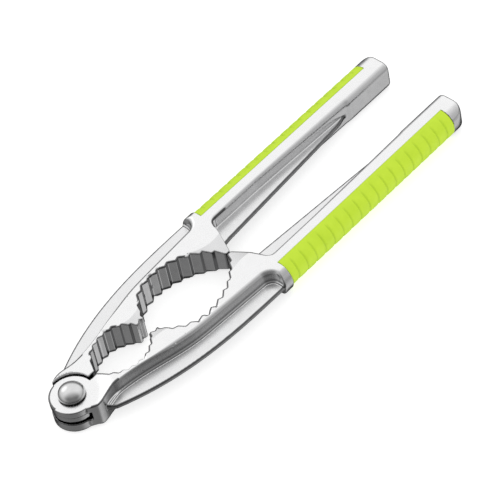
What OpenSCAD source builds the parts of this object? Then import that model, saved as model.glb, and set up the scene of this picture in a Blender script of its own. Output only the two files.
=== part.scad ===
// Lever nutcracker: two die-cast arms on one rivet, with soft ribbed grips.
// The pivot axis is Z through the origin and the tool points along +X.
// It lies flat on z = 0, drawn closed, with the jaw noses together.

/* [Arms] */
// Height of the jaws and handles
body_h = 12.8; // [12:0.2:15]
// Distance from the pivot to the handle tips
tip_x = 191; // [186:1:205]
// Distance from the middle plane to the inner side of a handle
grip_gap = 12.9; // [12:0.1:13.5]
// Corner radius along the inner side of a handle
inner_round = 3.3; // [2:0.1:4]
// Thickness of the thin webs beside the jaws and handles
web_t = 1.8; // [1.4:0.1:3]

/* [Jaws] */
// Depth of the teeth in the walnut hollow
walnut_tooth = 1.2; // [0.8:0.1:1.8]
// Depth of the teeth in the hazelnut hollow
hazel_tooth = 0.9; // [0.5:0.1:1.3]
// Slope in degrees of the bevels at the nose and at the middle point
bevel_angle = 14; // [8:1:18]
// Gap between the two closed jaw noses
nose_gap = 0.2; // [0.1:0.1:0.6]

/* [Knuckle] */
// Radius of the round knuckle ears
ear_r = 8.75; // [8:0.05:9]
// How much lower the ears are than the jaws, on each face
ear_drop = 1; // [0.6:0.1:1.4]
// Thickness of the upper ear
upper_ear_t = 3; // [2.5:0.1:3.4]
// Thickness of the lower ear
lower_ear_t = 4; // [3.4:0.1:4.4]
// Thickness of the friction washer
washer_t = 1.0; // [0.4:0.1:1.2]
// Radius of the rivet shank
shank_r = 3; // [2.5:0.1:3.6]
// Radius of the domed rivet head
head_r = 5.2; // [4.6:0.1:6]
// Height of the rivet head above the upper ear
head_h = 4.2; // [3.2:0.1:4.6]
// Height of the narrow neck under the rivet head
neck_h = 0.6; // [0.3:0.1:0.8]

/* [Grips] */
// Where a grip starts, measured from the pivot
grip_x0 = 89.9; // [89:0.1:92]
// Where a grip ends, measured from the pivot
grip_x1 = 183.8; // [175:0.2:184]
// Number of ribs on a grip
rib_count = 18; // [10:1:20]
// Depth of the grooves between ribs
rib_groove = 0.4; // [0.2:0.05:0.6]
// Thickness of the hard strip under a grip
strip_t = 1.7; // [1.2:0.1:2.4]

/* [Hidden] */
$fn = 96;
metal = "#d6d8da";
steel = "#b9bcc0";
lime = "#c8e636";
black = "#2b2d30";

mid_z = body_h / 2;
bow_r = body_h / 2;
bow_y = grip_gap + 6.8;
collar_x = 86.2;
collar_extra = 0.6;
pocket_y = grip_gap + 1.95;
seat_gap = 0.1;

// Heights in the knuckle, from the bottom up
ear_z0 = ear_drop;
slot_z0 = ear_z0 + lower_ear_t;
ear_z1 = body_h - ear_drop;
slot_z1 = ear_z1 - upper_ear_t;
run_gap = 0.1;
tongue_z0 = slot_z0 + washer_t + run_gap;
tongue_z1 = slot_z1 - run_gap;
shoulder_gap = 0.55;
shoulder_r = ear_r + shoulder_gap;
slot_r = ear_r + 0.85;
ramp_r = 16.5;
tongue_r = ear_r - 0.3;
bore_gap = 0.05;
tail_r = 4.4;
tail_h = 1.4;
neck_r = head_r - 0.75;
brim_h = 0.4;

// Hollows of the jaws: centre, radius, angle of the first groove, angle between grooves, count
hazel = [[25.6, -3.2], 13.6, 143, -15, 8];
walnut_in = [[57, -2], 17.2, 155.5, -16, 5];
walnut_out = [[57, -15], 30.2, 82.5, -8.7, 6];
slit_y = 0.25;

// Grip core: a flat strip with pegs
strip_half = 4.4;
strip_end = 1.5;
strip_fit = 0.02;
peg_x = [104, 137, 170];
peg_r = 2;
peg_l = 4;

function at(c, r, a) = [c[0] + r * cos(a), c[1] + r * sin(a)];
function reversed(points) = [for (i = [len(points) - 1:-1:0]) points[i]];
function arc(c, r, a0, a1, n) = [for (i = [0:n]) at(c, r, a0 + (a1 - a0) * i / n)];

// One row of teeth round a hollow: each tooth is a narrow groove and a sharp ridge
function teeth(h, depth) = [
    for (i = [0:h[4] - 1])
        let (a = h[2] + i * h[3], s = h[3])
        each [at(h[0], h[1], a - 0.03 * s), at(h[0], h[1], a + 0.03 * s),
              at(h[0] - [0, depth], h[1], a + 0.56 * s), at(h[0] - [0, depth], h[1], a + 0.6 * s)]];

// Outer wall of a jaw and edge of the thin web outside it
function smooth(t) = t * t * (3 - 2 * t);
function wall_y(x) = 9.45 + 5.3 * smooth(min((x - 13) / 39, 1)) + 0.058 * (x - 13);
function flange_y(x) = 26.2 - 12.2 * pow((86 - x) / 78, 2.9);

// Tops of the shoulders outside the ears
fork_shoulder = [[-1.4, 9], [0.5, 10.2], [2.2, 11.4], [3.2, 11.5], [5.2, 11.2], [7.6, 10.5], [10.2, 9.9]];
tongue_shoulder = [[-0.7, 9.5], [0.3, 9.95], [1.8, 10.35], [3.6, 10.5], [5.3, 10.35], [7, 10], [9.6, 9.55]];

// Toothed inner edge of a jaw, from the slit by the pivot to the nose
function jaw_edge() = concat(
    [[12.3, slit_y]],
    [at(hazel[0], hazel[1] - 0.4, 154)],
    teeth(hazel, hazel_tooth),
    [[37.2, 3.3], [38.2, 3.1], [39.4, 4.2], [40.7, 3.5], [41.4, 3.6]],
    teeth(walnut_in, walnut_tooth),
    teeth(walnut_out, walnut_tooth),
    [[82.6, nose_gap / 2], [84.3, nose_gap / 2], [84.7, 0.6]]);

// Full-height outline of a jaw, from the knuckle to the start of the handle
module jaw_outline(inner_r, end_a, shoulder) {
    polygon(concat(
        arc([0, 0], inner_r, 2, end_a, 24),
        shoulder,
        [for (x = [13:5:78]) [x, wall_y(x)]],
        arc([81.2, 23.7], 5, -84, 0, 10),
        [[collar_x, 28], [100, 28], [100, pocket_y], [92.6, pocket_y]],
        arc([92.6, pocket_y - 3], 3, 90, 156, 6),
        reversed(jaw_edge())));
}

// Cross-section of a handle across Y and Z, with its round outer bow
module handle_section() {
    translate([grip_gap, inner_round]) square([bow_y - grip_gap, body_h - 2 * inner_round]);
    translate([grip_gap + inner_round, 0]) square([bow_y - grip_gap - inner_round, body_h]);
    for (z = [inner_round, body_h - inner_round])
        translate([grip_gap + inner_round, z]) circle(inner_round);
    intersection() {
        translate([bow_y, mid_z]) circle(bow_r);
        translate([bow_y - 0.01, 0]) square([20, body_h]);
    }
}

// Turns a section drawn in Y and Z into a bar along X
module bar(x0, x1) {
    translate([x0, 0, 0]) rotate([90, 0, 90]) linear_extrude(x1 - x0) children();
}

// Jaw block, kept under the round bow where it becomes the handle
module jaw_block(inner_r, end_a, shoulder) {
    intersection() {
        linear_extrude(body_h) jaw_outline(inner_r, end_a, shoulder);
        bar(-20, 120) union() {
            translate([-20, 0]) square([bow_y + 20, body_h]);
            translate([bow_y, mid_z]) circle(bow_r + collar_extra);
        }
    }
}

module one_arm(inner_r, end_a, shoulder) {
    difference() {
        union() {
            jaw_block(inner_r, end_a, shoulder);
            bar(95, tip_x) handle_section();
            // Thin web outside the jaw
            translate([0, 0, mid_z - web_t / 2]) linear_extrude(web_t)
                polygon(concat([[5, 9.8], [6, 11.7]],
                    [for (x = [8:4:84]) [x, flange_y(x)]], [[88, 26], [88, 20], [78, 18], [9.6, 9.5]]));
            // Thin web inside the handle
            translate([0, 0, mid_z - web_t / 2]) linear_extrude(web_t)
                polygon([[87, 5], [87.6, 6.5], [91, 7.05], [155, 11.3], [161, 12.1], [165.5, 14], [87, 16]]);
        }
        // The handle is set back above and below its web
        for (z = [-1, mid_z + web_t / 2])
            translate([0, 0, z]) linear_extrude(mid_z - web_t / 2 + 1)
                polygon([[92.6, grip_gap - 1], [92.6, pocket_y], [115, pocket_y], [165, grip_gap + 0.45],
                         [168, grip_gap], [168, grip_gap - 1]]);
        jaw_bevels();
        // Seat for the grip, with holes for the pegs of its core
        translate([grip_x0 - seat_gap, bow_y, -1])
            cube([grip_x1 - grip_x0 + 2 * seat_gap, 20, body_h + 2]);
        for (x = peg_x)
            translate([x, bow_y + 1, mid_z]) rotate([90, 0, 0])
                cylinder(r = peg_r + bore_gap, h = peg_l + 1.3);
        // Rounded tip
        tip_round();
    }
}

// Cuts the corners of a tip to a rounded outline
module tip_round() {
    translate([tip_x - 5, bow_y + bow_r - 5, -1]) difference() {
        cube([6, 6, body_h + 2]);
        cylinder(r = 5, h = body_h + 2);
    }
    translate([tip_x - 2, grip_gap + 2, -1]) difference() {
        translate([0, -3, 0]) cube([3, 3, body_h + 2]);
        cylinder(r = 2, h = body_h + 2);
    }
}

// Sloping faces at the nose and at the point between the hollows, above and below
module jaw_bevels() {
    bevel([83.4, 23.2], 15.6, [66, -1], [26, 12]);
    bevel([37.8, 20.4], 13.4, [27, -1], [22, 12.5]);
}

module bevel(c, r, corner, size) {
    for (flip = [0, 1])
        translate([0, 0, flip * body_h]) mirror([0, 0, flip]) difference() {
            translate([corner[0], corner[1], -1]) cube([size[0], size[1], 6]);
            translate([c[0], c[1], -2])
                cylinder(r1 = r - 2 / tan(bevel_angle), r2 = r + 6 / tan(bevel_angle), h = 8);
        }
}

// The lower faces round the ears, as one turned cut above and one below
module ear_drop_cut() {
    for (flip = [0, 1])
        translate([0, 0, flip * body_h]) mirror([0, 0, flip])
            rotate_extrude() polygon([[0, -1], [ramp_r, -1], [ramp_r, 0], [shoulder_r, ear_drop], [0, ear_drop]]);
}

module fork_arm() {
    color(metal) mirror([0, 1, 0]) difference() {
        union() {
            one_arm(6, 107, fork_shoulder);
            translate([0, 0, ear_z0]) cylinder(r = ear_r, h = ear_z1 - ear_z0);
        }
        ear_drop_cut();
        translate([0, 0, slot_z0]) cylinder(r = slot_r, h = slot_z1 - slot_z0);
        cylinder(r = shank_r, h = body_h);
        translate([0, 0, ear_z0]) cylinder(r1 = tail_r, r2 = shank_r, h = tail_h);
    }
}

module tongue_arm() {
    color(metal) {
        one_arm(shoulder_r, 96, tongue_shoulder);
        translate([0, 0, tongue_z0]) difference() {
            union() {
                cylinder(r = tongue_r, h = tongue_z1 - tongue_z0);
                linear_extrude(tongue_z1 - tongue_z0) polygon(concat([[0, 0]],
                    arc([0, 0], shoulder_r + 0.3, 2.5, 93, 24)));
            }
            translate([0, 0, -1]) cylinder(r = shank_r + bore_gap, h = body_h);
        }
    }
}

module pivot_rivet() {
    brim_z = ear_z1 + neck_h + brim_h;
    dome_h = head_h - neck_h - brim_h;
    color(steel) rotate_extrude() polygon(concat(
        [[0, ear_z0], [tail_r, ear_z0], [shank_r, ear_z0 + tail_h], [shank_r, ear_z1],
         [neck_r, ear_z1], [neck_r, ear_z1 + neck_h], [head_r, brim_z]],
        [for (a = [7.5:7.5:82.5]) [head_r * cos(a), brim_z + dome_h * sin(a)]],
        [[0, brim_z + dome_h]]));
}

module friction_washer() {
    color(steel) translate([0, 0, slot_z0]) difference() {
        cylinder(r = ear_r - 1.8, h = washer_t);
        translate([0, 0, -1]) cylinder(r = shank_r + bore_gap, h = washer_t + 2);
    }
}

// Soft ribbed inlay: a turned half-round with a groove between ribs, let out for its core
module soft_grip() {
    pitch = (grip_x1 - grip_x0) / rib_count;
    translate([0, bow_y, mid_z]) difference() {
        intersection() {
            translate([grip_x0, 0, 0]) rotate([0, 90, 0]) rotate_extrude() polygon(concat([[0, 0]],
                [for (i = [0:rib_count - 1]) each [
                    [bow_r - rib_groove, i * pitch], [bow_r - 0.08, i * pitch + 0.5],
                    [bow_r, i * pitch + 0.5 * pitch], [bow_r - 0.08, (i + 1) * pitch - 0.5]]],
                [[bow_r - rib_groove, rib_count * pitch], [0, rib_count * pitch]]));
            translate([0, strip_fit, -body_h]) cube([tip_x, 20, 2 * body_h]);
        }
        core_strip(0);
    }
}

module core_strip(inset) {
    translate([grip_x0 + strip_end + inset, strip_fit, inset - strip_half])
        cube([grip_x1 - grip_x0 - 2 * strip_end - 2 * inset, strip_t - inset, 2 * (strip_half - inset)]);
}

module grip_core() {
    translate([0, bow_y, mid_z]) {
        core_strip(strip_fit);
        for (x = peg_x)
            translate([x, 0.5, 0]) rotate([90, 0, 0]) cylinder(r = peg_r, h = peg_l + 0.5);
    }
}

module fork_grip() {
    color(lime) mirror([0, 1, 0]) soft_grip();
}

module tongue_grip() {
    color(lime) soft_grip();
}

module fork_grip_core() {
    color(black) mirror([0, 1, 0]) grip_core();
}

module tongue_grip_core() {
    color(black) grip_core();
}

fork_arm();
tongue_arm();
pivot_rivet();
friction_washer();
fork_grip();
tongue_grip();
fork_grip_core();
tongue_grip_core();
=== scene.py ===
"""Looks of the lever nutcracker: two satin die-cast arms on a domed rivet, with ribbed lime grips.

Outlines and fields are in millimetres in the frame of the CAD model, with one arm drawn on the +Y side
and the other mirrored from it. A field is negative inside the metal and positive outside it.
"""

import math

import bpy
import numpy as np
from mathutils import Matrix, Vector


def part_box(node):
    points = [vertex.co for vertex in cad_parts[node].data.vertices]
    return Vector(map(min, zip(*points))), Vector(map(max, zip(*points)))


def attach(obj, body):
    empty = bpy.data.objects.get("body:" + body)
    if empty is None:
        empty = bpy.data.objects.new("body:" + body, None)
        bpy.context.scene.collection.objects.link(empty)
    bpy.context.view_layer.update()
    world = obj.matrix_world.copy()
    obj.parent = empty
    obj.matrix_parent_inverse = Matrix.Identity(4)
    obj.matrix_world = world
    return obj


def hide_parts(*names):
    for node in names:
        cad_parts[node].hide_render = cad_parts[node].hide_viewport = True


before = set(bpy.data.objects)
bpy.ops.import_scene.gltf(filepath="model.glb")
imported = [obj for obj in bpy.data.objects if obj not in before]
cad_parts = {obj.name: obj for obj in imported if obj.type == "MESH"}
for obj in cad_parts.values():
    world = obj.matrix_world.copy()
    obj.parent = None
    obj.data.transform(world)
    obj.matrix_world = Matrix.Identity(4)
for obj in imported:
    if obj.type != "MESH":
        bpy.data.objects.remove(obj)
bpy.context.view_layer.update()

MM = 0.001


def box_mm(node):
    return [[value / MM for value in corner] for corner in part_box(node)]


# Driving dimensions, read from the frame
arm_high = box_mm("tongue_arm")[1]
fork_low = box_mm("fork_arm")[0]
grip_low, grip_high = box_mm("tongue_grip")
rivet_low, rivet_high = box_mm("pivot_rivet")
washer_low, washer_high = box_mm("friction_washer")

BODY_H = arm_high[2]
MID_Z = BODY_H / 2
TIP_X = arm_high[0]
EAR_R = -fork_low[0]
BOW_R = MID_Z
BOW_Y = grip_high[1] - BOW_R
COLLAR_R = arm_high[1] - BOW_Y
GRIP_X0 = grip_low[0]
GRIP_X1 = grip_high[0]
EAR_Z0 = rivet_low[2]
EAR_Z1 = BODY_H - EAR_Z0
EAR_DROP = EAR_Z0
SLOT_Z0 = washer_low[2]
HEAD_R = rivet_high[0]
HEAD_TOP = rivet_high[2]

# Handles
BOW_DEPTH = 6.8
GRIP_GAP = BOW_Y - BOW_DEPTH
BAR_X0 = 99
BAR_OVERLAP = 0.5
INNER_ROUND = 3.3
POCKET_DEPTH = 1.95
POCKET_SLOPE = 0.03
POCKET_BEND = 115
POCKET_END = 165
COLLAR_X = 86.2
SEAT_GAP = 0.1
TIP_ROUND = 5
TIP_EDGE = 1.2
WEB_HALF = 0.9
PEG_X = (104, 137, 170)
PEG_R = 2.05
PEG_DEPTH = 4.3

# Knuckle
NECK_R = HEAD_R - 0.75
NECK_H = 0.35
BRIM_H = 0.3
UPPER_EAR_T = 3
SLOT_Z1 = EAR_Z1 - UPPER_EAR_T
RUN_GAP = 0.1
TONGUE_Z0 = washer_high[2] + RUN_GAP
TONGUE_Z1 = SLOT_Z1 - RUN_GAP
TONGUE_R = EAR_R - 0.3
SHOULDER_R = EAR_R + 0.4
SLOT_R = EAR_R + 0.85
RAMP_R = 16.5
SHANK_R = 3
BORE_GAP = 0.05
TAIL_R = 4.4
TAIL_H = 1.4

# Jaws: a hollow is its centre, radius, angle of the first groove, angle between grooves and count.
# A tooth's groove and ridge have their corners at these shares of the way to the next groove.
HAZEL = ((25.6, -3.2), 13.6, 143, -15, 8)
WALNUT_IN = ((57, -2), 17.2, 155.5, -16, 5)
WALNUT_OUT = ((57, -15), 30.2, 82.5, -8.7, 6)
HAZEL_TOOTH = 0.85
WALNUT_TOOTH = 1.15
GROOVE_SHARES = (-0.03, 0.03)
RIDGE_SHARES = (0.56, 0.6)
SLIT_Y = 0.45
NOSE_Y = 0.1
MIDDLE_POINT = [(37.2, 3.3), (38.2, 3.1), (39.4, 4.2), (40.7, 3.5), (41.4, 3.6)]
FORK_SHOULDER = [(-1.4, 9), (0.5, 10.2), (2.2, 11.4), (3.2, 11.5), (5.2, 11.2), (7.6, 10.5), (10.2, 9.9)]
TONGUE_SHOULDER = [(-0.7, 9.5), (0.3, 9.95), (1.8, 10.35), (3.6, 10.5), (5.3, 10.35), (7, 10), (9.6, 9.55)]
NOSE_BEVEL = ((83.4, 23.2), 15.6, 66, 92, 11)
POINT_BEVEL = ((37.8, 20.4), 13.4, 27, 49, 11.5)
POCKET_ARC = ((81.2, 23.7), 5)
BEVEL_SLOPE = math.tan(math.radians(14))
LEDGE_W = 1.3
LEDGE_HALF = 1.5
WALL_LEAN = 0.87
TOOTH_ROUND = 0.2
EDGE_R = 0.45
LOWER_EDGE = 0.7
WALL_ROUND = 1.6
SHOULDER_EDGE = 0.6
WEB_EDGE = 0.45
FILLET = 0.6

# Reach of the painted dark edge lines and of the painted shade in hollows
RIM_DEPTH = 0.8
OUTLINE_W = 0.85
SHADE_REACH = 3.0

# Grid that an arm is meshed on
FINE_STEP = 0.33
LONG_STEP = 1.2
GRID_MARGIN = 0.9
LONG_X0 = 96
LONG_X1 = 182.5
PEG_MARGIN = 3


# ---------------------------------------------------------------- outlines

def on_circle(centre, radius, degrees):
    angle = math.radians(degrees)
    return (centre[0] + radius * math.cos(angle), centre[1] + radius * math.sin(angle))


def arc(centre, radius, start, end, steps):
    return [on_circle(centre, radius, start + (end - start) * i / steps) for i in range(steps + 1)]


def teeth(hollow, depth):
    """Narrow grooves and sharp ridges round a hollow."""
    centre, radius, first, step, count = hollow
    lifted = (centre[0], centre[1] - depth)
    points = []
    for i in range(count):
        angle = first + i * step
        points += [on_circle(centre, radius, angle + share * step) for share in GROOVE_SHARES]
        points += [on_circle(lifted, radius, angle + share * step) for share in RIDGE_SHARES]
    return points


def smoothstep(low, high, value):
    t = np.clip((value - low) / (high - low), 0, 1)
    return t * t * (3 - 2 * t)


def wall_y(x):
    """Outer wall of a jaw."""
    return 9.45 + 5.3 * smoothstep(13, 52, x) + 0.058 * (x - 13)


def flange_y(x):
    """Edge of the thin web outside a jaw."""
    return 26.2 - 12.2 * ((86 - x) / 78) ** 2.9


def pocket_y(x):
    """Inner side of a handle, set back above and below the thin web."""
    depth = POCKET_DEPTH - POCKET_SLOPE * np.maximum(x - POCKET_BEND, 0)
    return GRIP_GAP + depth * smoothstep(POCKET_END + 3, POCKET_END, x)


def eased(points, rounds=2):
    """Cuts the corners of an open outline, keeping its ends."""
    points = np.array(points, float)
    for _ in range(rounds):
        before, after = points[:-1], points[1:]
        cut = np.stack([0.75 * before + 0.25 * after, 0.25 * before + 0.75 * after], 1).reshape(-1, 2)
        points = np.concatenate([points[:1], cut, points[-1:]])
    return [tuple(point) for point in points]


def soften(ring, size):
    """Rounds the sharp corners of a closed outline, each cut back by at most size."""
    points = np.array(ring, float)
    rounded_ring = []
    for before, here, after in zip(np.roll(points, 1, 0), points, np.roll(points, -1, 0)):
        back, ahead = before - here, after - here
        back_length, ahead_length = np.hypot(*back), np.hypot(*ahead)
        straight = -back @ ahead / (back_length * ahead_length)
        if straight > math.cos(math.radians(12)):
            rounded_ring.append(here)
            continue
        start = here + back / back_length * min(size, 0.4 * back_length)
        end = here + ahead / ahead_length * min(size, 0.4 * ahead_length)
        rounded_ring += [start, (start + 2 * here + end) / 4, end]
    return np.array(rounded_ring)


def jaw_ring(inner_r, end_angle, shoulder):
    """Full-height outline of an arm from the knuckle to the start of the handle."""
    toothed_edge = [(12.3, SLIT_Y), on_circle((HAZEL[0][0], HAZEL[0][1] - 0.4), HAZEL[1], 154)]
    toothed_edge += teeth(HAZEL, HAZEL_TOOTH) + MIDDLE_POINT
    toothed_edge += teeth(WALNUT_IN, WALNUT_TOOTH) + teeth(WALNUT_OUT, WALNUT_TOOTH)
    toothed_edge += [(82.6, NOSE_Y), (84.3, NOSE_Y), (84.7, 0.6)]
    wall = [(x, float(wall_y(x))) for x in range(13, 79, 5)]
    ring = arc((0, 0), inner_r, 2, end_angle, 48) + eased(shoulder + wall)
    ring += arc(POCKET_ARC[0], POCKET_ARC[1], -84, 0, 12)
    ring += [(COLLAR_X, 30), (104, 30), (104, GRIP_GAP + POCKET_DEPTH), (92.6, GRIP_GAP + POCKET_DEPTH)]
    ring += arc((92.6, GRIP_GAP + POCKET_DEPTH - 3), 3, 90, 156, 8)
    return soften(ring + toothed_edge[::-1], TOOTH_ROUND)


FLANGE_RING = soften(
    [(5, 9.8), (6, 11.7)] + [(x, float(flange_y(x))) for x in range(8, 85, 4)]
    + [(88, 26), (88, 20), (78, 18), (9.6, 9.5)], 0.6)
WEB_RING = np.array([(87, 5), (87.6, 6.5)] + eased([(91, 7.05), (155, 11.3), (161, 12), (165.5, 14)])
                    + [(165.5, 16), (87, 16)], float)
FORK_RING = jaw_ring(6, 107, FORK_SHOULDER)
TONGUE_RING = jaw_ring(SHOULDER_R, 96, TONGUE_SHOULDER)


# ---------------------------------------------------------------- fields

def outline_distance(x, y, ring, reach=4.0, slab=4.0):
    """Signed distance in plan to a closed outline, exact within reach of it."""
    shape = np.broadcast(x, y).shape
    px = np.broadcast_to(x, shape).ravel()
    py = np.broadcast_to(y, shape).ravel()
    start, end = ring, np.roll(ring, -1, 0)
    result = np.empty(px.size)
    order = np.argsort(px, kind="stable")
    edges = np.arange(px.min(), px.max() + 2 * slab, slab)
    cuts = np.searchsorted(px[order], edges)
    for first, last in zip(cuts[:-1], cuts[1:]):
        chosen = order[first:last]
        if not chosen.size:
            continue
        qx, qy = px[chosen][:, None], py[chosen][:, None]
        near = (np.maximum(start[:, 0], end[:, 0]) >= qx.min() - reach) \
            & (np.minimum(start[:, 0], end[:, 0]) <= qx.max() + reach)
        if not near.any():
            result[chosen] = reach
            continue
        ax, ay = start[near, 0], start[near, 1]
        dx, dy = end[near, 0] - ax, end[near, 1] - ay
        share = np.clip(((qx - ax) * dx + (qy - ay) * dy) / (dx * dx + dy * dy), 0, 1)
        squared = (qx - ax - share * dx) ** 2 + (qy - ay - share * dy) ** 2
        rises = (ay > qy) != (ay + dy > qy)
        safe_dy = np.where(dy == 0, 1, dy)
        crossings = rises & (qx < ax + (qy - ay) * dx / safe_dy)
        # A point's ray runs along +X, so the slab's outline is closed by what lies beyond it
        beyond = ~near & (np.minimum(start[:, 0], end[:, 0]) > qx.max() + reach)
        bx, by = start[beyond], end[beyond]
        far = ((bx[:, 1] > qy) != (by[:, 1] > qy)).sum(1)
        inside = (crossings.sum(1) + far) % 2 == 1
        distance = np.sqrt(squared.min(1))
        result[chosen] = np.where(inside, -distance, distance)
    return result.reshape(shape)


def rounded(a, b, radius):
    """Where two fields meet in an outer edge of that radius."""
    return np.minimum(np.maximum(a + radius, b + radius), 0) \
        + np.hypot(np.maximum(a + radius, 0), np.maximum(b + radius, 0)) - radius


def merged(a, b, fillet):
    """Two solids joined with a fillet."""
    blend = np.maximum(fillet - np.abs(a - b), 0) / fillet
    return np.minimum(a, b) - blend * blend * fillet / 4


def bevel_drop(x, y, bevel):
    centre, radius, x0, x1, y1 = bevel
    outside = np.hypot(x - centre[0], y - centre[1]) - radius
    return np.where((x > x0) & (x < x1) & (y < y1), np.maximum(outside, 0) * BEVEL_SLOPE, 0)


def wall_nearness(x, y):
    """1 beside the outer wall of a jaw and its round end, 0 away from them."""
    centre, radius = POCKET_ARC
    past_wall = np.maximum(y - wall_y(np.minimum(x, 80)), radius - np.hypot(x - centre[0], y - centre[1]))
    return smoothstep(-3.2, -1.7, past_wall) * smoothstep(8, 16, x) * smoothstep(90, 87, x)


def arm_field(x, y, z, ring, ramp):
    """Jaw, webs and handle of one arm, without its half of the knuckle."""
    height = np.abs(z - MID_Z)
    radius = np.hypot(x, y)
    drop = bevel_drop(x, y, NOSE_BEVEL) + bevel_drop(x, y, POINT_BEVEL)
    if ramp:
        drop = np.maximum(drop, EAR_DROP * (1 - smoothstep(SHOULDER_R, RAMP_R, radius)))
    plan = outline_distance(x, y, ring)
    lean = WALL_LEAN * smoothstep(-1.2, -0.4, y - wall_y(x)) * smoothstep(8, 16, x) * smoothstep(90, 84, x)
    leaning = plan - lean * (1 - (height / MID_Z) ** 2)
    wall_round = WALL_ROUND * (0.3 + 0.7 * smoothstep(28, 42, x)) * wall_nearness(x, y)
    edge = np.maximum(np.where(z > MID_Z, EDGE_R, LOWER_EDGE), wall_round)
    pocket_round = INNER_ROUND - 0.8 * (pocket_y(x) - GRIP_GAP)
    edge = edge + (pocket_round - edge) * smoothstep(87.5, 93, x)
    edge = edge + (SHOULDER_EDGE - EDGE_R) * smoothstep(SHOULDER_R + 2, SHOULDER_R + 1, radius)
    block = rounded(leaning, height - (MID_Z - drop), edge)
    bow = np.hypot(np.maximum(y - BOW_Y, 0), height)
    block = rounded(block, bow - COLLAR_R, WEB_EDGE)

    section = rounded(pocket_y(x) - y, bow - BOW_R, pocket_round)
    end = rounded(x - TIP_X, y - BOW_Y - BOW_R, TIP_ROUND)
    bar = rounded(np.maximum(section, BAR_X0 - x), end, TIP_EDGE)
    block = np.maximum(block, x - BAR_X0 - BAR_OVERLAP)
    solid = np.minimum(block, bar)

    flange_plan = outline_distance(x, y, FLANGE_RING)
    flange = rounded(flange_plan, height - WEB_HALF, WEB_EDGE)
    ledge = rounded(np.maximum(plan - LEDGE_W, flange_plan + 0.2), height - LEDGE_HALF, WEB_EDGE)
    web = rounded(outline_distance(x, y, WEB_RING), height - WEB_HALF, WEB_EDGE)
    solid = merged(solid, merged(flange, ledge, 0.3), FILLET)
    solid = merged(solid, web, FILLET)

    seat = np.maximum(np.maximum(GRIP_X0 - SEAT_GAP - x, x - GRIP_X1 - SEAT_GAP), BOW_Y - y)
    for peg_x in PEG_X:
        hole = np.maximum(np.hypot(x - peg_x, z - MID_Z) - PEG_R, np.abs(y - BOW_Y) - PEG_DEPTH)
        seat = np.minimum(seat, hole)
    return rounded(solid, -seat, 0.12)


def fork_field(x, y, z):
    radius = np.hypot(x, y)
    body = arm_field(x, y, z, FORK_RING, True)
    ear = rounded(radius - EAR_R, np.abs(z - MID_Z) - (MID_Z - EAR_DROP), 0.3)
    below_top = MID_Z - EAR_DROP - np.abs(z - MID_Z)
    solid = merged(body, ear, 0.05 + 0.8 * smoothstep(0.3, 2, below_top))
    slot = np.maximum(radius - SLOT_R, np.abs(z - (SLOT_Z0 + SLOT_Z1) / 2) - (SLOT_Z1 - SLOT_Z0) / 2)
    sink = radius - TAIL_R + (z - EAR_Z0) * (TAIL_R - SHANK_R) / TAIL_H
    bore = np.minimum(radius - SHANK_R, np.maximum(sink, z - EAR_Z0 - TAIL_H))
    return rounded(rounded(solid, -slot, 0.25), -bore, 0.1)


def tongue_field(x, y, z):
    radius = np.hypot(x, y)
    body = arm_field(x, y, z, TONGUE_RING, False)
    low, high = math.radians(2.5), math.radians(3)
    wedge = np.maximum(x * math.sin(low) - y * math.cos(low), -x * math.cos(high) - y * math.sin(high))
    plan = np.minimum(radius - TONGUE_R, np.maximum(radius - SHOULDER_R - 0.3, wedge))
    layer = np.abs(z - (TONGUE_Z0 + TONGUE_Z1) / 2) - (TONGUE_Z1 - TONGUE_Z0) / 2
    solid = np.minimum(body, rounded(plan, layer, 0.3))
    return np.maximum(solid, SHANK_R + BORE_GAP - radius)


# ---------------------------------------------------------------- meshing

def surface_net(values, axes):
    """Points and quads on the zero level of a field sampled on a grid, with one point in each cut cell."""
    cells = np.array(values.shape) - 1
    strides = np.array([cells[1] * cells[2], cells[2], 1])
    size = int(cells.prod())
    total = np.zeros((3, size))
    count = np.zeros(size)
    quads = []
    for axis in range(3):
        before = [slice(None)] * 3
        after = [slice(None)] * 3
        before[axis] = slice(0, -1)
        after[axis] = slice(1, None)
        first, second = values[tuple(before)], values[tuple(after)]
        index = np.argwhere((first < 0) != (second < 0))
        a, b = first[tuple(index.T)], second[tuple(index.T)]
        crossing = np.stack([axes[k][index[:, k]] for k in range(3)])
        crossing[axis] += np.diff(axes[axis])[index[:, axis]] * a / (a - b)
        u, v = (axis + 1) % 3, (axis + 2) % 3
        corners = []
        for du, dv in ((1, 1), (0, 1), (0, 0), (1, 0)):
            cell = index.copy()
            cell[:, u] -= du
            cell[:, v] -= dv
            flat = cell @ strides
            for k in range(3):
                total[k] += np.bincount(flat, crossing[k], size)
            count += np.bincount(flat, minlength=size)
            corners.append(flat)
        quad = np.stack(corners, 1)
        quad[a >= 0] = quad[a >= 0][:, ::-1]
        quads.append(quad)
    used, quads = np.unique(np.concatenate(quads), return_inverse=True)
    return (total[:, used] / count[used]).T, quads.reshape(-1, 4)


def slope(field, points, step=0.02):
    columns = []
    for axis in range(3):
        shift = np.zeros(3)
        shift[axis] = step
        columns.append((field(*(points + shift).T) - field(*(points - shift).T)) / (2 * step))
    return np.stack(columns, 1)


def settle(field, points, rounds=3, longest=0.25):
    """Moves points along the field's slope until they lie on its surface."""
    for _ in range(rounds):
        direction = slope(field, points)
        squared = np.maximum((direction ** 2).sum(1), 0.05)
        move = np.clip(field(*points.T) / squared, -longest, longest)
        points = points - direction * move[:, None]
    return points


def steps_between(low, high, step):
    return np.linspace(low, high, max(2, round((high - low) / step) + 1))[:-1]


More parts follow.
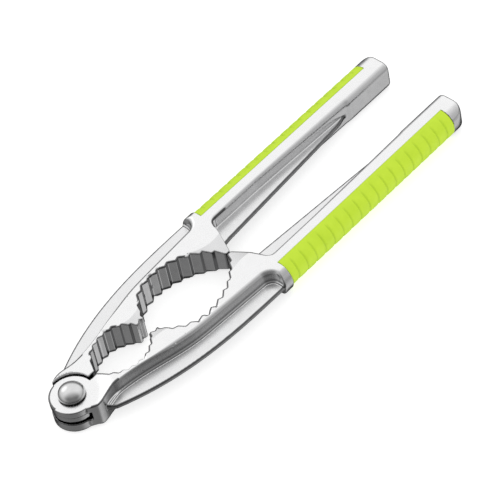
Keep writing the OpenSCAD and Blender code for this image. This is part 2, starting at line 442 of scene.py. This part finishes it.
def arm_axes():
    """Grid lines, wider apart along the straight part of the handle than elsewhere."""
    bands = [(fork_low[0] - GRID_MARGIN, LONG_X0, FINE_STEP)]
    at = LONG_X0
    for peg_x in PEG_X:
        before_peg, after_peg = peg_x - PEG_MARGIN, peg_x + PEG_MARGIN
        bands += [(at, before_peg, LONG_STEP), (before_peg, after_peg, FINE_STEP)]
        at = after_peg
    bands += [(at, LONG_X1, LONG_STEP), (LONG_X1, TIP_X + GRID_MARGIN, FINE_STEP)]
    x = np.concatenate([steps_between(*band) for band in bands])
    y = steps_between(fork_low[0] - GRID_MARGIN, arm_high[1] + GRID_MARGIN, FINE_STEP)
    z = steps_between(-GRID_MARGIN, BODY_H + GRID_MARGIN, FINE_STEP)
    return x, y, z


def new_object(name, points_mm, faces, normals=None):
    mesh = bpy.data.meshes.new(name)
    mesh.from_pydata((np.asarray(points_mm) * MM).tolist(), [], np.asarray(faces).tolist()
                     if isinstance(faces, np.ndarray) else faces)
    mesh.polygons.foreach_set("use_smooth", [True] * len(mesh.polygons))
    if normals is not None:
        mesh.normals_split_custom_set_from_vertices(normals.tolist())
    mesh.update()
    piece = bpy.data.objects.new(name, mesh)
    bpy.context.scene.collection.objects.link(piece)
    return piece


def add_values(piece, name, values):
    attribute = piece.data.attributes.new(name, "FLOAT", "POINT")
    attribute.data.foreach_set("value", np.asarray(values, np.float32))


def riser_shade(x, y, normals):
    """Painted shade on the teeth: 1 on the steep side of each tooth, 0 on its flat side."""
    amount = np.zeros(len(x))
    for hollow, low, high in ((HAZEL, 12, 37), (WALNUT_IN, 40, 60), (WALNUT_OUT, 60, 84)):
        centre, radius = hollow[:2]
        across, along = x - centre[0], y - centre[1]
        reach = np.hypot(across, along)
        turn = (normals[:, 0] * along - normals[:, 1] * across) / reach
        here = (x > low) & (x < high) & (np.abs(reach - radius + 0.75) < 1.3) & (y > 0)
        steep = smoothstep(0.2, 0.4, turn) * smoothstep(0.6, 0.3, np.abs(normals[:, 2]))
        amount = np.where(here, steep, amount)
    return amount


def surface_shades(field, ring, points, normals, plain_teeth):
    """How much each point lies on a sharp edge, on an outline that gets a painted dark line, in a hollow
    that gets painted shade, or on a ground face that also gets painted light.

    With plain_teeth, the teeth have no painted dark line along their outline.
    """
    x, y, z = points.T
    lean = normals[:, 2]
    tilt = np.abs(lean)
    edge = field(*(points - normals * RIM_DEPTH).T) / RIM_DEPTH + 1
    height = np.abs(z - MID_Z)
    radius = np.hypot(x, y)
    inset = -outline_distance(x, y, ring)
    # The painted dark line follows the outline of the jaw, and that of the ear on the side away from its
    # arm
    bare_ear = (radius < SHOULDER_R) & (inset < 0) & (x < -1) & (y < 0)
    jaw_side = y < 0.5 * (wall_y(np.minimum(x, 80)) + 4)
    unlined = (radius < SHOULDER_R + 0.5) | (wall_nearness(x, y) > 0.97)
    unlined = unlined | (x > BAR_X0) | (jaw_side & plain_teeth)
    inset = np.where(bare_ear, EAR_R - radius, np.where(unlined, OUTLINE_W, inset))
    web_inset = -np.minimum(outline_distance(x, y, FLANGE_RING), outline_distance(x, y, WEB_RING))
    inset = np.where(height > 4, inset, np.where(height < 1.2, web_inset, OUTLINE_W))
    # Painted shade: a dark line along the outlines of the top and bottom faces
    rim_shade = smoothstep(OUTLINE_W, OUTLINE_W / 2, inset) * smoothstep(0.2, 0.5, tilt)
    # Painted shade: faces low down near the floor go dark
    foot_shade = smoothstep(1.9, 1.1, z) * smoothstep(0.3, 0.1, lean) * smoothstep(-0.97, -0.9, lean)
    # Painted shade in hollows: steep faces within reach of their own arm's metal go dark, as in corners
    # and recesses
    ahead = points + normals * SHADE_REACH
    own = 1 - field(*ahead.T) / SHADE_REACH
    own = 1.4 * own * smoothstep(-0.4, -0.1, normals[:, 1]) * smoothstep(0.8, 0.5, tilt) * (x < 88)
    # Painted shade on the steep sides of the knuckle
    side = smoothstep(0.6, 0.3, tilt) * smoothstep(16, 12, x) * (0.3 + 0.45 * smoothstep(4, 9, x))
    # Painted shade where the other arm lies close
    other = 1 - field(*(ahead * (1, -1, 1)).T) / SHADE_REACH
    other = other * smoothstep(2, 1, y) * (x > 9) * smoothstep(0.8, 0.5, tilt)
    # Painted shade inside the slot of the knuckle
    in_slot = (radius < SLOT_R - 0.3) & (z > SLOT_Z0 - 0.4) & (z < TONGUE_Z0 + 0.1)
    sloping = bevel_drop(x, y, NOSE_BEVEL) + bevel_drop(x, y, POINT_BEVEL)
    # Ground faces: the flat tops and bottoms get a lighter ground finish and the webs half of it; the
    # lighter tone is also painted light, which leaves walls and bevels darker
    ground_and_lit = np.where(height < 1.2, 0.5, smoothstep(4, 4.5, height) * smoothstep(0.06, 0, sloping))
    ground_and_lit = ground_and_lit * smoothstep(0.9, 0.97, tilt)
    # Painted shade on the steep side of each tooth joins the dark lines
    rim_shade = np.maximum(np.maximum(rim_shade, foot_shade), riser_shade(x, y, normals))
    # Painted shade on the steep sides of the thin webs
    web_side = 0.7 * (height < 1) * (np.abs(web_inset) < 0.4) * smoothstep(0.6, 0.3, tilt)
    return {"edge": edge, "rim_shade": rim_shade, "ground_and_lit": ground_and_lit,
            "hollow": np.maximum.reduce([own, side, web_side, other, in_slot])}


def build_arm(name, field, ring, mirrored):
    axes = arm_axes()
    x, y, z = np.meshgrid(*axes, indexing="ij", sparse=True)
    values = field(x, y, z)
    points, quads = surface_net(np.broadcast_to(values, [len(a) for a in axes]), axes)
    points = settle(field, points)
    points = np.minimum(points, (TIP_X, arm_high[1], BODY_H))
    points[:, 2] = np.maximum(points[:, 2], 0)
    normals = slope(field, points)
    normals /= np.maximum(np.linalg.norm(normals, axis=1), 1e-6)[:, None]
    shades = surface_shades(field, ring, points, normals, plain_teeth=not mirrored)
    if mirrored:
        points = points * (1, -1, 1)
        normals = normals * (1, -1, 1)
        quads = quads[:, ::-1]
    piece = new_object(name, points, quads, normals)
    for key, amount in shades.items():
        add_values(piece, key, np.clip(amount, 0, 1))
    return piece


def turned(name, profile, steps=128):
    """A solid turned about the pivot axis from a profile of (radius, height) points."""
    points = []
    faces = []
    for i in range(steps):
        angle = 2 * math.pi * i / steps
        points += [(r * math.cos(angle), r * math.sin(angle), z) for r, z in profile]
    count = len(profile)
    for i in range(steps):
        a, b = i * count, (i + 1) % steps * count
        faces += [(a + k, b + k, b + k + 1, a + k + 1) for k in range(count - 1)]
    faces.append([i * count for i in range(steps)][::-1])
    faces.append([i * count + count - 1 for i in range(steps)])
    return new_object(name, points, faces)


# ---------------------------------------------------------------- grips

SKIN_GAP = 0.02
RIB_COUNT = 18
RIB_GROOVE = 0.35
RIB_CROWN = 0.06
RIB_START = 2
RIB_FADE = 35


def groove_depth(x, angle):
    """How far the grip's skin lies inside its bow."""
    pitch = (GRIP_X1 - GRIP_X0) / (RIB_COUNT + 0.6)
    phase = (x - GRIP_X0) / pitch - 0.8
    from_groove = np.abs(phase - np.round(phase))
    real = (phase > -0.5) & (phase < RIB_COUNT - 0.5)
    narrow = np.exp(-(from_groove * pitch / 0.42) ** 2) * real
    crown = (1 - 2 * from_groove) ** 2
    fade = smoothstep(RIB_START, RIB_START + RIB_FADE, angle) \
        * smoothstep(180 - RIB_START, 180 - RIB_START - RIB_FADE, angle)
    return fade * (RIB_GROOVE * narrow + RIB_CROWN * crown)


def build_grip(name, mirrored):
    end_round = 0.3
    stations = np.linspace(GRIP_X0 + end_round, GRIP_X1 - end_round, 340)
    ends = np.radians(np.arange(0, 90, 22.5))
    lead = [(GRIP_X0 + end_round * (1 - math.sin(a)), end_round * (1 - math.cos(a))) for a in ends[::-1]]
    tail = [(GRIP_X1 - end_round * (1 - math.sin(a)), end_round * (1 - math.cos(a))) for a in ends]
    rows = lead + [(x, 0) for x in stations] + tail
    angles = np.linspace(0, 180, 61)
    points = []
    shade_amounts = []
    for x, inset in rows:
        depth = groove_depth(x, angles)
        # Painted shade: the grooves and the rounded ends are marked to go darker
        shade = np.maximum(depth, RIB_GROOVE if inset > 0 else 0)
        radius = BOW_R - SKIN_GAP - inset - depth
        y = BOW_Y + SKIN_GAP + radius * np.sin(np.radians(angles))
        z = MID_Z + radius * np.cos(np.radians(angles))
        points += list(zip([x] * len(angles), y, z))
        shade_amounts += list(shade / RIB_GROOVE)
    count = len(angles)
    faces = []
    for i in range(len(rows) - 1):
        a, b = i * count, (i + 1) * count
        faces += [(a + k, b + k, b + (k + 1) % count, a + (k + 1) % count) for k in range(count)]
    faces.append(list(range(count)))
    faces.append([(len(rows) - 1) * count + k for k in range(count)][::-1])
    points = np.array(points)
    if mirrored:
        points = points * (1, -1, 1)
        faces = [face[::-1] for face in faces]
    piece = new_object(name, points, faces)
    add_values(piece, "groove", np.clip(shade_amounts, 0, 1))
    return piece


# ---------------------------------------------------------------- materials

def new_material(name):
    material = bpy.data.materials.new(name)
    material.use_nodes = True
    tree = material.node_tree
    return material, tree, tree.nodes["Principled BSDF"]


def add_node(tree, kind, **settings):
    node = tree.nodes.new(kind)
    for key, value in settings.items():
        setattr(node, key, value)
    return node


def noise(tree, scale, detail=4, roughness=0.5, stretch=(1, 1, 1)):
    """Noise in object space, with scale in features per metre."""
    place = add_node(tree, "ShaderNodeTexCoord")
    spread = add_node(tree, "ShaderNodeMapping")
    spread.inputs["Scale"].default_value = stretch
    texture = add_node(tree, "ShaderNodeTexNoise")
    texture.inputs["Scale"].default_value = scale
    texture.inputs["Detail"].default_value = detail
    texture.inputs["Roughness"].default_value = roughness
    tree.links.new(place.outputs["Object"], spread.inputs["Vector"])
    tree.links.new(spread.outputs["Vector"], texture.inputs["Vector"])
    return texture.outputs["Fac"]


def mapped(tree, value, low, high, from_low=0.3, from_high=0.7):
    node = add_node(tree, "ShaderNodeMapRange")
    node.inputs["From Min"].default_value = from_low
    node.inputs["From Max"].default_value = from_high
    node.inputs["To Min"].default_value = low
    node.inputs["To Max"].default_value = high
    tree.links.new(value, node.inputs["Value"])
    return node.outputs["Result"]


def attribute(tree, name):
    return add_node(tree, "ShaderNodeAttribute", attribute_name=name).outputs["Fac"]


def ramp(tree, value, stops):
    node = add_node(tree, "ShaderNodeValToRGB")
    elements = node.color_ramp.elements
    while len(elements) < len(stops):
        elements.new(0.5)
    for element, (position, colour) in zip(elements, stops):
        element.position = position
        element.color = (*colour, 1)
    tree.links.new(value, node.inputs["Fac"])
    return node.outputs["Color"]


def mixed(tree, factor, a, b, mode="MIX"):
    node = add_node(tree, "ShaderNodeMix", data_type="RGBA", blend_type=mode)
    for socket, value in ((node.inputs["Factor"], factor), (node.inputs[6], a), (node.inputs[7], b)):
        if isinstance(value, (int, float)):
            socket.default_value = value
        elif isinstance(value, tuple):
            socket.default_value = (*value, 1)
        else:
            tree.links.new(value, socket)
    return node.outputs[2]


def calculated(tree, operation, a, b=0.0):
    node = add_node(tree, "ShaderNodeMath", operation=operation)
    for socket, value in zip(node.inputs, (a, b)):
        if isinstance(value, (int, float)):
            socket.default_value = value
        else:
            tree.links.new(value, socket)
    return node.outputs["Value"]


def bumped(tree, height, depth_mm, below=None):
    node = add_node(tree, "ShaderNodeBump")
    node.inputs["Strength"].default_value = 1
    node.inputs["Distance"].default_value = depth_mm * MM
    tree.links.new(height, node.inputs["Height"])
    if below is not None:
        tree.links.new(below, node.inputs["Normal"])
    return node.outputs["Normal"]


def cast_metal():
    """Satin plated die casting: fine grain, faint waviness and polished edges, with painted shade in the
    corners, painted dark lines along edges and a lighter tone on ground faces that is partly painted
    light.
    """
    material, tree, shader = new_material("cast_metal")
    shader.inputs["Metallic"].default_value = 1
    as_cast = ramp(tree, noise(tree, 260, 5), [(0.3, (0.72, 0.72, 0.725)), (0.7, (0.75, 0.75, 0.755))])
    ground_and_lit_tone = ramp(tree, noise(tree, 340, 5), [(0.3, (0.86, 0.86, 0.863)), (0.7, (0.88, 0.88, 0.883))])
    # Ground faces take the lighter tone: a ground finish and painted light
    tone = mixed(tree, attribute(tree, "ground_and_lit"), as_cast, ground_and_lit_tone)
    # Painted shade: the hollow amount darkens corners, the knuckle's sides, the webs' sides, the slot and
    # faces near the other arm
    corners = mapped(tree, attribute(tree, "hollow"), 0, 0.9, 0.1, 0.85)
    tone = mixed(tree, corners, tone, (0.10, 0.10, 0.103))
    # Painted shade: the dark lines along outlines, low down near the floor and on the teeth's steep sides
    rim_shade = mapped(tree, attribute(tree, "rim_shade"), 0, 0.9, 0.1, 0.7)
    tone = mixed(tree, rim_shade, tone, (0.06, 0.06, 0.062))
    tree.links.new(tone, shader.inputs["Base Color"])
    rough = mapped(tree, noise(tree, 420, 6), 0.22, 0.29)
    polish = calculated(tree, "MULTIPLY", attribute(tree, "edge"), -0.08)
    tree.links.new(calculated(tree, "ADD", rough, polish), shader.inputs["Roughness"])
    wavy = bumped(tree, noise(tree, 130, 2), 0.01)
    tree.links.new(bumped(tree, noise(tree, 2600, 3), 0.003, wavy), shader.inputs["Normal"])
    return material


def soft_rubber():
    """Lime rubber with a fine matt skin; painted shade makes it darker and duller in the grooves and at
    its rounded ends.
    """
    material, tree, shader = new_material("soft_grip")
    tone = ramp(tree, noise(tree, 180, 5), [(0.3, (0.56, 0.80, 0.030)), (0.7, (0.61, 0.85, 0.038))])
    # Painted shade darkens the grooves and the rounded ends
    grooves = mapped(tree, attribute(tree, "groove"), 0, 0.4, 0.2, 1)
    tone = mixed(tree, grooves, tone, (0.38, 0.58, 0.016))
    tree.links.new(tone, shader.inputs["Base Color"])
    tree.links.new(mapped(tree, noise(tree, 900, 5), 0.42, 0.56), shader.inputs["Roughness"])
    shader.inputs["Specular IOR Level"].default_value = 0.4
    tree.links.new(bumped(tree, noise(tree, 3400, 3), 0.012), shader.inputs["Normal"])
    return material


def turned_steel(name, tone_low, tone_high, roughness):
    """Turned steel with fine marks round its axis."""
    material, tree, shader = new_material(name)
    shader.inputs["Metallic"].default_value = 1
    tone = ramp(tree, noise(tree, 500, 4), [(0.3, (tone_low,) * 3), (0.7, (tone_high,) * 3)])
    tone = mixed(tree, attribute(tree, "shade"), tone, (0.03, 0.03, 0.03))
    tree.links.new(tone, shader.inputs["Base Color"])
    rough = mapped(tree, noise(tree, 800, 5), roughness - 0.05, roughness + 0.05)
    tree.links.new(rough, shader.inputs["Roughness"])
    tree.links.new(bumped(tree, noise(tree, 2200, 3), 0.004), shader.inputs["Normal"])
    return material


def core_plastic():
    """Moulded black plastic with a fine spark-eroded skin."""
    material, tree, shader = new_material("core_plastic")
    tone = ramp(tree, noise(tree, 300, 4), [(0.3, (0.020, 0.021, 0.023)), (0.7, (0.034, 0.035, 0.038))])
    tree.links.new(tone, shader.inputs["Base Color"])
    tree.links.new(mapped(tree, noise(tree, 1200, 4), 0.45, 0.6), shader.inputs["Roughness"])
    tree.links.new(bumped(tree, noise(tree, 2800, 3), 0.015), shader.inputs["Normal"])
    return material


# ---------------------------------------------------------------- pieces

def rivet_profile():
    """Flush tail, shank, narrow neck and tall dome."""
    brim_z = EAR_Z1 + NECK_H + BRIM_H
    low = [(0.01, EAR_Z0), (TAIL_R - 0.15, EAR_Z0), (TAIL_R - 0.05, EAR_Z0 + 0.05)]
    shank = [(SHANK_R, EAR_Z0 + TAIL_H), (SHANK_R, EAR_Z1)]
    neck = [(NECK_R, EAR_Z1), (NECK_R, EAR_Z1 + NECK_H)]
    brim = [(HEAD_R - 0.3, EAR_Z1 + NECK_H), (HEAD_R - 0.08, brim_z - 0.2)]
    dome = []
    for i in range(33):
        angle = math.pi / 2 * i / 32
        dome.append((max(HEAD_R * math.cos(angle), 0.01), brim_z + (HEAD_TOP - brim_z) * math.sin(angle)))
    return low + shank + neck + brim + dome


def build_rivet():
    piece = turned("domed_rivet", rivet_profile())
    z = np.array([vertex.co.z for vertex in piece.data.vertices]) / MM
    brim_z = EAR_Z1 + NECK_H + BRIM_H
    add_values(piece, "shade", smoothstep(brim_z + 0.5, brim_z, z) * (z > EAR_Z0 + TAIL_H))
    return piece


def give(piece, material, slot_name, body, *replaced):
    piece.data.materials.append(material)
    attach(piece, body)
    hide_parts(*replaced)


metal = cast_metal()
rubber = soft_rubber()
rivet_steel = turned_steel("rivet_steel", 0.66, 0.71, 0.16)
washer_steel = turned_steel("washer_steel", 0.50, 0.58, 0.35)
plastic = core_plastic()

fork_casting = build_arm("fork_casting", fork_field, FORK_RING, True)
tongue_casting = build_arm("tongue_casting", tongue_field, TONGUE_RING, False)
give(fork_casting, metal, "cast_metal", "fork_side", "fork_arm")
give(tongue_casting, metal, "cast_metal", "tongue_side", "tongue_arm")
give(build_grip("fork_inlay", True), rubber, "soft_grip", "fork_side", "fork_grip")
give(build_grip("tongue_inlay", False), rubber, "soft_grip", "tongue_side", "tongue_grip")
give(build_rivet(), rivet_steel, "rivet_steel", "fork_side", "pivot_rivet")

for node_name, material in (("friction_washer", washer_steel), ("fork_grip_core", plastic),
                            ("tongue_grip_core", plastic)):
    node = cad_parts[node_name]
    for slot_index in range(len(node.material_slots)):
        node.material_slots[slot_index].material = material


# ---------------------------------------------------------------- studio

def build_floor():
    size = 6.0
    mesh = bpy.data.meshes.new("floor")
    corners = [(-size, -size, 0), (size, -size, 0), (size, size, 0), (-size, size, 0)]
    mesh.from_pydata(corners, [], [(0, 1, 2, 3)])
    floor = bpy.data.objects.new("floor", mesh)
    bpy.context.scene.collection.objects.link(floor)
    material, tree, shader = new_material("floor_paper")
    tone = ramp(tree, noise(tree, 40, 4), [(0.3, (0.50, 0.50, 0.50)), (0.7, (0.52, 0.52, 0.52))])
    tree.links.new(tone, shader.inputs["Base Color"])
    shader.inputs["Roughness"].default_value = 0.9
    shader.inputs["Emission Color"].default_value = (1, 1, 1, 1)
    shader.inputs["Emission Strength"].default_value = 0.7
    mesh.materials.append(material)
    floor.visible_glossy = False


def build_light(name, place, size, power):
    data = bpy.data.lights.new(name, "AREA")
    data.shape = "RECTANGLE"
    data.size, data.size_y = size
    data.energy = power
    light = bpy.data.objects.new(name, data)
    bpy.context.scene.collection.objects.link(light)
    light.location = place
    light.visible_camera = False
    light.visible_glossy = False


def toward(bearing, elevation):
    """Direction at a bearing from +X towards +Y, and at a height above the horizon, in degrees."""
    turn, rise = math.radians(bearing), math.radians(elevation)
    return (math.cos(turn) * math.cos(rise), math.sin(turn) * math.cos(rise), math.sin(rise))


def patch(tree, direction, aim, start, full, amount):
    """A soft patch of the surroundings round a direction: amount at its middle, nothing past its rim."""
    product = add_node(tree, "ShaderNodeVectorMath", operation="DOT_PRODUCT")
    tree.links.new(direction, product.inputs[0])
    product.inputs[1].default_value = aim
    node = add_node(tree, "ShaderNodeMapRange", interpolation_type="SMOOTHSTEP")
    node.inputs["From Min"].default_value = start
    node.inputs["From Max"].default_value = full
    node.inputs["To Min"].default_value = 0
    node.inputs["To Max"].default_value = amount
    tree.links.new(product.outputs["Value"], node.inputs["Value"])
    return node.outputs["Result"]


def build_world():
    """Bright to the eye and to matt surfaces; gloss sees a grey room with dark and bright sides."""
    world = bpy.data.worlds.new("studio")
    bpy.context.scene.world = world
    world.use_nodes = True
    tree = world.node_tree
    direction = tree.nodes.new("ShaderNodeTexCoord").outputs["Generated"]
    glow = calculated(tree, "ADD", patch(tree, direction, toward(-56, -44), 0.7, 0.95, 0.42), 0.25)
    glow = calculated(tree, "ADD", glow, patch(tree, direction, (0, 0, 1), -0.25, 0.4, 0.45))
    above = patch(tree, direction, (0, 0, 1), -0.72, -0.62, 1)
    below = patch(tree, direction, (0, 0, 1), 0.05, -0.3, 1)
    front = patch(tree, direction, toward(235, 0), 0.3, 0.7, 0.72)
    band = calculated(tree, "MULTIPLY", calculated(tree, "MULTIPLY", above, below), front)
    for shadow in (band, patch(tree, direction, toward(40, -35), 0.45, 0.7, 0.93),
                   patch(tree, direction, toward(232, 40), 0.35, 0.9, 0.7)):
        glow = calculated(tree, "MULTIPLY", glow, calculated(tree, "SUBTRACT", 1, shadow))
    glow = calculated(tree, "ADD", glow, patch(tree, direction, toward(52, 55), 0.1, 0.85, 0.35))
    glow = calculated(tree, "ADD", glow, patch(tree, direction, toward(90, 35), 0.94, 0.99, 0.5))
    rays = tree.nodes.new("ShaderNodeLightPath")
    shade = mixed(tree, rays.outputs["Is Glossy Ray"], (0.48, 0.48, 0.48), glow)
    tree.links.new(shade, tree.nodes["Background"].inputs["Color"])


def build_camera():
    azimuth, elevation, roll = (math.radians(a) for a in (-38.0, 48.24, -12.55))
    distance = 1.0375
    aim = Vector((91.65, -2.77, MID_Z)) * MM
    back = Vector((math.sin(azimuth) * math.cos(elevation), -math.cos(azimuth) * math.cos(elevation),
                   math.sin(elevation)))
    right = (-back).cross(Vector((0, 0, 1))).normalized()
    up = right.cross(-back)
    turned_right = right * math.cos(roll) + up * math.sin(roll)
    turned_up = up * math.cos(roll) - right * math.sin(roll)
    data = bpy.data.cameras.new("camera")
    data.lens = 199.4
    data.sensor_width = 36
    data.clip_start = 0.05
    camera = bpy.data.objects.new("camera", data)
    bpy.context.scene.collection.objects.link(camera)
    rotation = Matrix((turned_right, turned_up, back)).transposed().to_4x4()
    camera.matrix_world = Matrix.Translation(aim + back * distance) @ rotation
    bpy.context.scene.camera = camera


build_floor()
build_world()
build_light("softbox", (-0.05, -0.2, 1.0), (4.0, 4.0), 28)
build_camera()
bpy.context.scene.view_settings.view_transform = "Standard"
